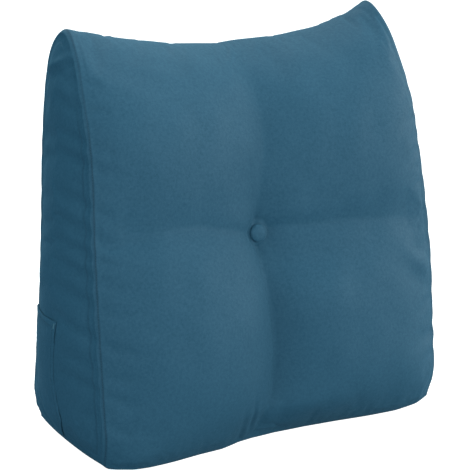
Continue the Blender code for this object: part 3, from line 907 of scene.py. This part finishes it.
def buildButton():
    size = buttonSize
    middle, facing = buttonPlace()
    across = Vector((1, 0, 0))
    upward = facing.cross(across).normalized()
    turns = [math.tau * i / size["sides"] for i in range(size["sides"])]
    highest = 0.0
    for turn in turns[::4]:
        for share in size["probeShares"]:
            spot = middle + (across * math.cos(turn) + upward * math.sin(turn)) * size["radius"] * share
            hit = cushionSkin.ray_cast(spot + facing * size["probeHeight"], -facing)[0]
            highest = max(highest, (hit - middle).dot(facing))
    back = middle + facing * (highest + size["gap"])
    points, faces = [back], []
    for share, rise in buttonProfile:
        for turn in turns:
            wave = math.sin(turn * size["gathers"] + 1.3 * math.sin(3 * turn))
            nearRim = max(0.0, 1 - abs(share - size["gatherAt"]) / size["gatherReach"])
            pinch = size["gatherDepth"] * wave * nearRim * (1.2 - rise)
            tilt = size["tilt"] * math.cos(turn - size["tiltTurn"]) * rise
            spoke = across * math.cos(turn) + upward * math.sin(turn)
            spot = back + spoke * (size["radius"] * share + pinch)
            points.append(spot + facing * (size["height"] * rise + tilt))
    points.append(back + facing * size["height"])
    count, tip = size["sides"], len(points) - 1
    for i in range(count):
        after = (i + 1) % count
        faces.append((0, 1 + after, 1 + i))
        for ring in range(len(buttonProfile) - 1):
            low, high = 1 + ring * count, 1 + (ring + 1) * count
            faces.append((low + i, low + after, high + after, high + i))
        last = 1 + (len(buttonProfile) - 1) * count
        faces.append((last + i, last + after, tip))
    return newObject("tuftButton", points, faces)


tuftButton = buildButton()
print("stage: button")


# The lap of the back cloth round the lower left edge, a hemmed sheet

lapSize = {
    "axis": (-0.165, 0.045),
    "sideX": -0.245,
    "backTurn": math.radians(52),
    "low": 0.020,
    "high": 0.152,
    "tilt": 0.013,
    "rows": 88,
    "columns": 120,
    "gap": 0.0007,
    "flushGap": 0.00022,
    "thickness": 0.0011,
    "hemWidth": 0.0072,
    "hemThickness": 0.0005,
    "edgeThickness": 0.25,
    "flushThickness": 0.06,
    "edgeRoll": 0.0026,
    "flushRoll": 0.0070,
    "flushFoot": (0.050, 0.066),
    "flushTop": (0.146, 0.132),
    "flushReach": (0.022, 0.008),
    "evenRounds": 60,
    "hemStep": 0.0012,
    "hemLump": 0.00025,
    "groove": 0.0004,
    "grooveWidth": 0.0007,
    "rollStart": -0.0004,
    "stitchInset": 0.0056,
    "stitchLift": 0.00010,
    "tackInset": 0.0024,
    "tackLift": 0.0002,
    "tackEnds": (-0.001, 0.005),
}

# height, depth of the lap's front edge
lapFront = [
    (0.020, -0.019),
    (0.045, -0.024),
    (0.061, -0.017),
    (0.084, -0.011),
    (0.109, -0.012),
    (0.135, -0.0165),
    (0.165, -0.023),
]


def lapGrid():
    # Points of the skin under the lap and the way out from each, row by row from its lower edge up
    size = lapSize
    height, front = tableColumns(lapFront)
    axisX, axisY = size["axis"]
    skin = np.zeros((size["rows"], size["columns"], 3))
    aims = np.zeros_like(skin)
    for r, z in enumerate(np.linspace(size["low"], size["high"], size["rows"])):
        start = math.atan2(np.interp(z, height, front) - axisY, axisX - size["sideX"])
        for c, turn in enumerate(np.linspace(start, size["backTurn"], size["columns"])):
            aim = Vector((-math.cos(turn), math.sin(turn), 0))
            forward = (size["backTurn"] - turn) / (size["backTurn"] - start)
            tilt = size["tilt"] * forward * (z - size["low"]) / (size["high"] - size["low"])
            skin[r, c] = cushionSkin.ray_cast(Vector((axisX, axisY, z + tilt)), aim)[0]
            aims[r, c] = aim
    return skin, aims


def buildLap():
    size = lapSize
    skin, aims = lapGrid()
    reach = np.einsum("rci,rci->rc", skin - np.array([*size["axis"], 0.0]), aims * np.array([1, 1, 0]))
    smooth = evenOut(reach, size["evenRounds"])
    # Between its lower half and its corner the front edge lies nearly flush
    height = skin[:, :1, 2]
    width = np.linalg.norm(np.diff(skin, axis=1), axis=2)
    width = np.hstack([np.zeros((size["rows"], 1)), np.cumsum(width, axis=1)])
    flush = blendOver(height, *size["flushFoot"]) * blendOver(height, *size["flushTop"])
    flush = flush * blendOver(width, *size["flushReach"])
    loose = (np.maximum(smooth, reach) - reach + size["gap"]) * (1 - flush)
    lifted = reach + loose + size["flushGap"] * flush
    inner = skin + aims * (lifted - reach)[..., None]
    stepRow = np.linalg.norm(np.diff(inner, axis=0), axis=2)
    stepColumn = np.linalg.norm(np.diff(inner, axis=1), axis=2)
    fromTop = np.vstack([np.cumsum(stepRow[::-1], axis=0)[::-1], np.zeros((1, size["columns"]))])
    fromLow = np.vstack([np.zeros((1, size["columns"])), np.cumsum(stepRow, axis=0)])
    fromFront = np.hstack([np.zeros((size["rows"], 1)), np.cumsum(stepColumn, axis=1)])
    fromBack = np.hstack([np.cumsum(stepColumn[:, ::-1], axis=1)[:, ::-1], np.zeros((size["rows"], 1))])
    edge = np.minimum(np.minimum(fromTop, fromFront), np.minimum(fromLow, fromBack))
    hem = blendOver(edge, size["hemWidth"] + size["hemStep"], size["hemWidth"])
    groove = size["groove"] * bell(edge - size["stitchInset"], size["grooveWidth"])
    roll = size["edgeRoll"] + (size["flushRoll"] - size["edgeRoll"]) * flush
    rolled = blendOver(edge, size["rollStart"], roll)
    least = size["edgeThickness"] + (size["flushThickness"] - size["edgeThickness"]) * flush
    thick = size["thickness"] + size["hemThickness"] * hem - groove * (1 - flush)
    thick = thick * (least + (1 - least) * rolled)
    thick = thick + size["hemLump"] * unevenNoise(fromFront, fromTop, 31, 6, 150, 420) * hem
    outer = inner + aims * thick[..., None]
    rows, columns = size["rows"], size["columns"]
    count = rows * columns
    ids = np.arange(count).reshape(rows, columns)
    faces = np.vstack([gridFaces(ids), gridFaces(ids + count, flip=True)]).tolist()
    rim = list(ids[0, :-1]) + list(ids[:-1, -1]) + list(ids[-1, :0:-1]) + list(ids[:0:-1, 0])
    for a, b in zip(rim, rim[1:] + rim[:1]):
        faces.append((int(b), int(a), int(a) + count, int(b) + count))
    lap = newObject("backLap", np.vstack([inner.reshape(-1, 3), outer.reshape(-1, 3)]), faces)
    area = float(np.sum(stepRow[:, :-1] * stepColumn[:-1]))
    wide, tall = float(fromFront[:, -1].max()), float(fromTop[0].max())
    return lap, outer, aims, edge, (wide, tall), area


backLap, lapOuter, lapAims, lapEdge, lapFlat, lapArea = buildLap()
print("stage: lap", [round(value, 4) for value in lapFlat], round(lapArea, 5))


# Materials

clothColours = {
    "deep": (0.0159, 0.0735, 0.1295, 1),
    "light": (0.0268, 0.1025, 0.1745, 1),
    "sheen": 0.13,
    "sheenTint": (0.26, 0.62, 0.90, 1),
    # ditch: the dark colour of the painted shade in the seam ditches
    "ditch": (0.006, 0.028, 0.052, 1),
    "threadDeep": (0.009, 0.048, 0.092, 1),
    "threadLight": (0.020, 0.084, 0.145, 1),
    "tackDeep": (0.040, 0.120, 0.180, 1),
    "tackLight": (0.120, 0.260, 0.340, 1),
}


def newGroup(name, inputs, outputs):
    group = bpy.data.node_groups.new(name, "ShaderNodeTree")
    for label, kind, value in inputs:
        socket = group.interface.new_socket(label, in_out="INPUT", socket_type=kind)
        socket.default_value = value
    for label, kind in outputs:
        group.interface.new_socket(label, in_out="OUTPUT", socket_type=kind)
    return group, group.nodes.new("NodeGroupInput"), group.nodes.new("NodeGroupOutput")


def feed(tree, node, values):
    # Fixed values and incoming links of a node, by the name of each socket
    for label, value in dict(values).items():
        if isinstance(value, bpy.types.NodeSocket):
            tree.links.new(value, node.inputs[label])
        else:
            node.inputs[label].default_value = value


def addNode(tree, kind, values=(), **settings):
    node = tree.nodes.new(kind)
    for name, value in settings.items():
        setattr(node, name, value)
    feed(tree, node, values)
    return node


def mathNode(tree, operation, *values):
    return addNode(tree, "ShaderNodeMath", enumerate(values), operation=operation).outputs[0]


def newMaterial(name):
    material = bpy.data.materials.new(name)
    material.use_nodes = True
    tree = material.node_tree
    place = addNode(tree, "ShaderNodeTexCoord").outputs["Object"]
    return material, tree, tree.nodes["Principled BSDF"], place


pileShape = {
    "tuftScale": 1500.0,
    "mottleScale": 300.0,
    "brushScale": 14.0,
    "shares": (0.36, 0.52, 0.12),
    "toneRange": (0.34, 0.66),
    "tuftHeight": 0.6,
    "distance": 0.0006,
    "roughness": (0.80, 0.64),
    "specular": 0.25,
    "sheenRoughness": 0.42,
}


def buildPileGroup():
    # Short upright pile: fine tufts, the mottling where it has been brushed, and a broad uneven tone
    size = pileShape
    inputs = [
        ("Place", "NodeSocketVector", (0, 0, 0)),
        ("Tuft Scale", "NodeSocketFloat", size["tuftScale"]),
        ("Mottle Scale", "NodeSocketFloat", size["mottleScale"]),
        ("Brush Scale", "NodeSocketFloat", size["brushScale"]),
    ]
    outputs = [("Tone", "NodeSocketFloat"), ("Height", "NodeSocketFloat")]
    group, start, end = newGroup("shortPile", inputs, outputs)
    noises = []
    for label, values in (
        ("Tuft Scale", {"Detail": 2.0, "Roughness": 0.6}),
        ("Mottle Scale", {"Detail": 4.0, "Roughness": 0.62}),
        ("Brush Scale", {"Detail": 3.0, "Distortion": 0.4}),
    ):
        values = {"Vector": start.outputs["Place"], "Scale": start.outputs[label], **values}
        noises.append(addNode(group, "ShaderNodeTexNoise", values).outputs["Fac"])
    fine, middle, broad = (mathNode(group, "MULTIPLY", *pair) for pair in zip(noises, size["shares"]))
    every = mathNode(group, "ADD", mathNode(group, "ADD", fine, middle), broad)
    low, high = size["toneRange"]
    tone = addNode(group, "ShaderNodeMapRange", {"Value": every, "From Min": low, "From Max": high})
    height = mathNode(group, "MULTIPLY_ADD", noises[0], size["tuftHeight"], noises[1])
    feed(group, end, {"Tone": tone.outputs["Result"], "Height": height})
    return group


shortPile = buildPileGroup()


def pileMaterial(name, bump, shaded=False):
    material, tree, shader, place = newMaterial(name)
    pile = addNode(tree, "ShaderNodeGroup", node_tree=shortPile)
    feed(tree, pile, {"Place": place})
    ramp = addNode(tree, "ShaderNodeValToRGB", {"Fac": pile.outputs["Tone"]})
    ramp.color_ramp.elements[0].color = clothColours["deep"]
    ramp.color_ramp.elements[1].color = clothColours["light"]
    bumpValues = {"Height": pile.outputs["Height"], "Strength": bump, "Distance": pileShape["distance"]}
    relief = addNode(tree, "ShaderNodeBump", bumpValues)
    least, most = pileShape["roughness"]
    roughValues = {"Value": pile.outputs["Tone"], "To Min": least, "To Max": most}
    rough = addNode(tree, "ShaderNodeMapRange", roughValues)
    tint = ramp.outputs["Color"]
    if shaded:
        # Painted shade: the seam ditches and the line beside them are mixed towards the dark ditch colour
        layer = addNode(tree, "ShaderNodeAttribute", attribute_name="paintedSeamShade")
        ditchShadeMix = addNode(tree, "ShaderNodeMix", {0: layer.outputs["Fac"]}, data_type="RGBA")
        feed(tree, ditchShadeMix, {"A": tint, "B": clothColours["ditch"]})
        tint = ditchShadeMix.outputs["Result"]
    look = {
        "Base Color": tint,
        "Roughness": rough.outputs["Result"],
        "Normal": relief.outputs["Normal"],
        "Specular IOR Level": pileShape["specular"],
        "Sheen Weight": clothColours["sheen"],
        "Sheen Roughness": pileShape["sheenRoughness"],
        "Sheen Tint": clothColours["sheenTint"],
    }
    feed(tree, shader, look)
    return material


def threadMaterial(name, deep, light):
    material, tree, shader, place = newMaterial(name)
    twist = addNode(tree, "ShaderNodeTexNoise", {"Vector": place, "Scale": 3200.0, "Detail": 1.0})
    ramp = addNode(tree, "ShaderNodeValToRGB", {"Fac": twist.outputs["Fac"]})
    for element, position, colour in zip(ramp.color_ramp.elements, (0.35, 0.65), (deep, light)):
        element.position = position
        element.color = colour
    bumpValues = {"Height": twist.outputs["Fac"], "Strength": 0.4, "Distance": 0.0002}
    relief = addNode(tree, "ShaderNodeBump", bumpValues)
    look = {"Base Color": ramp.outputs["Color"], "Normal": relief.outputs["Normal"]}
    feed(tree, shader, {**look, "Roughness": 0.6, "Specular IOR Level": 0.3})
    return material


coverPile = pileMaterial("coverPile", 0.35, shaded=True)
lapPile = pileMaterial("lapPile", 0.30)
buttonPile = pileMaterial("buttonPile", 0.25)
seamThread = threadMaterial("seamThread", clothColours["threadDeep"], clothColours["threadLight"])
tackThread = threadMaterial("tackThread", clothColours["tackDeep"], clothColours["tackLight"])
cushionCover.data.materials.append(coverPile)
backLap.data.materials.append(lapPile)
tuftButton.data.materials.append(buttonPile)


# Stitches, made by one Geometry Nodes tree along any line


def buildStitchTree():
    tree = bpy.data.node_groups.new("stitchRow", "GeometryNodeTree")
    sockets = [
        ("Line", "NodeSocketGeometry", None),
        ("Pitch", "NodeSocketFloat", 0.0032),
        ("Stitch Length", "NodeSocketFloat", 0.0024),
        ("Thread Radius", "NodeSocketFloat", 0.00022),
        ("Slant", "NodeSocketFloat", 0.0),
        ("Unevenness", "NodeSocketFloat", 0.06),
        ("Seed", "NodeSocketInt", 3),
        ("Thread", "NodeSocketMaterial", None),
    ]
    for label, kind, value in sockets:
        socket = tree.interface.new_socket(label, in_out="INPUT", socket_type=kind)
        if value is not None:
            socket.default_value = value
    tree.interface.new_socket("Stitches", in_out="OUTPUT", socket_type="NodeSocketGeometry")
    start, end = tree.nodes.new("NodeGroupInput").outputs, tree.nodes.new("NodeGroupOutput")
    line = addNode(tree, "GeometryNodeMeshToCurve", {"Mesh": start["Line"]})
    evenValues = {"Curve": line.outputs["Curve"], "Length": start["Pitch"]}
    even = addNode(tree, "GeometryNodeResampleCurve", evenValues, mode="LENGTH")
    ball = addNode(tree, "GeometryNodeMeshUVSphere", {"Segments": 6, "Rings": 5, "Radius": 1.0})
    halfLength = mathNode(tree, "MULTIPLY", start["Stitch Length"], 0.5)
    radius = start["Thread Radius"]
    shape = addNode(tree, "ShaderNodeCombineXYZ", {"X": halfLength, "Y": radius, "Z": radius})
    stitchValues = {"Geometry": ball.outputs["Mesh"], "Scale": shape.outputs[0]}
    stitch = addNode(tree, "GeometryNodeTransform", stitchValues)
    tangent = addNode(tree, "GeometryNodeInputTangent")
    alignValues = {"Vector": tangent.outputs["Tangent"]}
    align = addNode(tree, "FunctionNodeAlignRotationToVector", alignValues, axis="X")
    less = mathNode(tree, "MULTIPLY", start["Unevenness"], -1.0)
    lowest = mathNode(tree, "ADD", start["Slant"], less)
    highest = mathNode(tree, "ADD", start["Slant"], start["Unevenness"])
    wobble = addNode(tree, "FunctionNodeRandomValue", {"Seed": start["Seed"]}, data_type="FLOAT")
    floats = [socket for socket in wobble.inputs if socket.type == "VALUE"]
    tree.links.new(lowest, floats[0])
    tree.links.new(highest, floats[1])
    result = [socket for socket in wobble.outputs if socket.type == "VALUE"][0]
    turn = addNode(tree, "ShaderNodeCombineXYZ", {"Z": result})
    spin = addNode(tree, "FunctionNodeEulerToRotation", {"Euler": turn.outputs[0]})
    turnedValues = {"Rotation": align.outputs["Rotation"], "Rotate By": spin.outputs["Rotation"]}
    turned = addNode(tree, "FunctionNodeRotateRotation", turnedValues, rotation_space="LOCAL")
    placedValues = {
        "Points": even.outputs["Curve"],
        "Instance": stitch.outputs["Geometry"],
        "Rotation": turned.outputs["Rotation"],
    }
    placed = addNode(tree, "GeometryNodeInstanceOnPoints", placedValues)
    real = addNode(tree, "GeometryNodeRealizeInstances", {"Geometry": placed.outputs["Instances"]})
    smooth = addNode(tree, "GeometryNodeSetShadeSmooth", {"Geometry": real.outputs["Geometry"]})
    finishValues = {"Geometry": smooth.outputs["Geometry"], "Material": start["Thread"]}
    finish = addNode(tree, "GeometryNodeSetMaterial", finishValues)
    tree.links.new(finish.outputs["Geometry"], end.inputs["Stitches"])
    return tree


stitchTree = buildStitchTree()


def sewLines(name, lines, thread, values):
    points, edges = [], []
    for line in lines:
        first = len(points)
        points += [tuple(map(float, point)) for point in line]
        edges += [(first + i, first + i + 1) for i in range(len(line) - 1)]
    mesh = bpy.data.meshes.new(name + "Line")
    mesh.from_pydata(points, edges, [])
    guide = addItem(name + "Line", mesh)
    maker = guide.modifiers.new("stitches", "NODES")
    maker.node_group = stitchTree
    keys = {item.name: item.identifier for item in stitchTree.interface.items_tree if item.in_out == "INPUT"}
    maker[keys["Thread"]] = thread
    for label, value in values.items():
        maker[keys[label]] = value
    made = bpy.data.meshes.new_from_object(guide.evaluated_get(bpy.context.evaluated_depsgraph_get()))
    made.name = name
    sewn = addItem(name, made)
    guide.modifiers.clear()
    dropObject(guide)
    return sewn


seamSewing = {"Pitch": 0.0030, "Stitch Length": 0.0025, "Thread Radius": 0.00024, "Seed": 5}
seamLift = 0.00005


def seamLine(column):
    # The stitching of one side seam, just proud of the bottom of its ditch
    ids = coverGrids["wrap"][2:-2, column]
    inside = coverGrids["wrap"][2:-2, 1 if column == 0 else -2]
    points, beside = coverPoints[ids], coverPoints[inside]
    away = points - beside
    away /= np.linalg.norm(away, axis=1)[:, None]
    return points + away * seamLift


seamStitches = sewLines("seamStitches", [seamLine(0), seamLine(-1)], seamThread, seamSewing)


def insetEnds(edge, inset):
    # First and last place along a line of the lap's grid that lie at the inset from its edges
    half = len(edge) // 2
    first = int(np.argmin(np.abs(edge[:half] - inset)))
    return first, len(edge) - 1 - int(np.argmin(np.abs(edge[::-1][:half] - inset)))


def hemLines():
    # Lines at the stitch inset from the lap's edges, along its grid
    rows, columns = lapEdge.shape
    raised = lapOuter + lapAims * lapSize["stitchLift"]
    low, high = insetEnds(lapEdge[:, columns // 2], lapSize["stitchInset"])
    first, last = insetEnds(lapEdge[rows // 2], lapSize["stitchInset"])
    front = raised[low : high + 1, first]
    top = raised[high, first : last + 1]
    back = raised[low : high + 1, last][::-1]
    return [np.vstack([front, top[1:], back[1:]])], raised


hemPath, lapRaised = hemLines()
hemSewing = {"Pitch": 0.0034, "Stitch Length": 0.0027, "Thread Radius": 0.00022, "Seed": 9}
hemStitches = sewLines("hemStitches", hemPath, seamThread, hemSewing)


def tackLine():
    # The bar tack at the lap's upper front corner: close slanted stitches across its edge
    inset = lapSize["tackInset"]
    rows, columns = lapEdge.shape
    high = rows - 1 - int(np.argmax(lapEdge[:, columns // 2][::-1] > inset))
    first = int(np.argmax(lapEdge[rows // 2] > inset))
    corner = lapRaised[high, first]
    ahead = lapRaised[high - 4, first]
    down = (ahead - corner) / np.linalg.norm(ahead - corner)
    out = lapAims[high, first] * lapSize["tackLift"]
    start, end = lapSize["tackEnds"]
    return [np.linspace(corner + out + down * start, corner + out + down * end, 24)]


tackSewing = {
    "Pitch": 0.00052,
    "Stitch Length": 0.0030,
    "Thread Radius": 0.00030,
    "Slant": math.radians(80),
    "Unevenness": 0.10,
    "Seed": 4,
}
barTack = sewLines("barTack", tackLine(), tackThread, tackSewing)
print("stage: stitches")

for piece in (cushionCover, tuftButton, backLap, seamStitches, hemStitches, barTack):
    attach(piece, "root")
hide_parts("cushion_body")
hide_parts("tuft_button")
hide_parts("back_lap")

# The floor, the lights and the camera

studio = {
    "floorHalf": 14.0,
    "floorTone": 0.55,
    "floorGlow": 1.02,
    "floorBounce": (0.17, 0.25, 0.31, 1),
    "worldTone": (0.36, 0.84, 1.0, 1),
    "worldStrength": 0.44,
    "lampTone": (1.0, 0.93, 0.82),
    "lampSize": 1.6,
    "lampAim": (0.0, 0.0, 0.25),
}


def buildStudio():
    half = studio["floorHalf"]
    corners = [(-half, -half, 0), (half, -half, 0), (half, half, 0), (-half, half, 0)]
    floor = newObject("floor", corners, [(0, 1, 2, 3)])
    paint = bpy.data.materials.new("floorPaint")
    paint.use_nodes = True
    tree = paint.node_tree
    tree.nodes.remove(tree.nodes["Principled BSDF"])
    seen = addNode(tree, "ShaderNodeBsdfDiffuse", {"Color": (studio["floorTone"],) * 3 + (1,)})
    glow = addNode(tree, "ShaderNodeEmission", {"Strength": studio["floorGlow"]})
    bright = addNode(tree, "ShaderNodeAddShader", {0: seen.outputs[0], 1: glow.outputs[0]})
    dim = addNode(tree, "ShaderNodeBsdfDiffuse", {"Color": studio["floorBounce"]})
    path = addNode(tree, "ShaderNodeLightPath")
    shownValues = {0: path.outputs["Is Camera Ray"], 1: dim.outputs[0], 2: bright.outputs[0]}
    shown = addNode(tree, "ShaderNodeMixShader", shownValues)
    feed(tree, tree.nodes["Material Output"], {"Surface": shown.outputs[0]})
    floor.data.materials.append(paint)
    world = bpy.data.worlds.new("studioWorld")
    bpy.context.scene.world = world
    world.use_nodes = True
    light = {"Color": studio["worldTone"], "Strength": studio["worldStrength"]}
    feed(world.node_tree, world.node_tree.nodes["Background"], light)
    bpy.context.scene.view_settings.view_transform = "Standard"


# name, place, watts
softLights = [
    ("keyLight", (2.6, -1.9, 0.9), 54.0),
    ("sideLight", (3.2, 0.0, 1.2), 44.0),
    ("frontLight", (0.3, -3.2, 0.9), 31.0),
    ("leftLight", (-2.6, -1.7, 1.0), 40.0),
    ("topLight", (0.3, 0.6, 3.1), 48.0),
    ("backLight", (0.4, 2.0, 2.5), 18.0),
]


def buildLights():
    aim = Vector(studio["lampAim"])
    for name, place, watts in softLights:
        lamp = bpy.data.lights.new(name, "AREA")
        lamp.shape = "RECTANGLE"
        lamp.size = lamp.size_y = studio["lampSize"]
        lamp.energy = watts
        lamp.color = studio["lampTone"]
        item = addItem(name, lamp)
        item.location = place
        item.rotation_euler = (aim - Vector(place)).to_track_quat("-Z", "Y").to_euler()


cameraPlan = {
    "azimuth": 30.0,
    "elevation": 15.9,
    "distance": 2.05,
    "aimHeight": 0.25,
    "drop": 0.022,
    "sensor": 36.0,
    "focalPixels": 1690.0,
    "framePixels": 470.0,
}


def buildCamera():
    plan = cameraPlan
    turn, rise = math.radians(plan["azimuth"]), math.radians(plan["elevation"])
    ahead = Vector((math.sin(turn) * math.cos(rise), math.cos(turn) * math.cos(rise), -math.sin(rise)))
    across = ahead.cross(Vector((0, 0, 1))).normalized()
    upward = across.cross(ahead)
    aim = Vector((0, 0, plan["aimHeight"])) - upward * plan["drop"]
    lens = bpy.data.cameras.new("studioCamera")
    lens.lens = plan["focalPixels"] / plan["framePixels"] * plan["sensor"]
    lens.sensor_width = plan["sensor"]
    item = addItem("studioCamera", lens)
    item.location = aim - ahead * plan["distance"]
    item.rotation_euler = ahead.to_track_quat("-Z", "Y").to_euler()
    bpy.context.scene.camera = item


buildStudio()
buildLights()
buildCamera()
print("stage: studio")
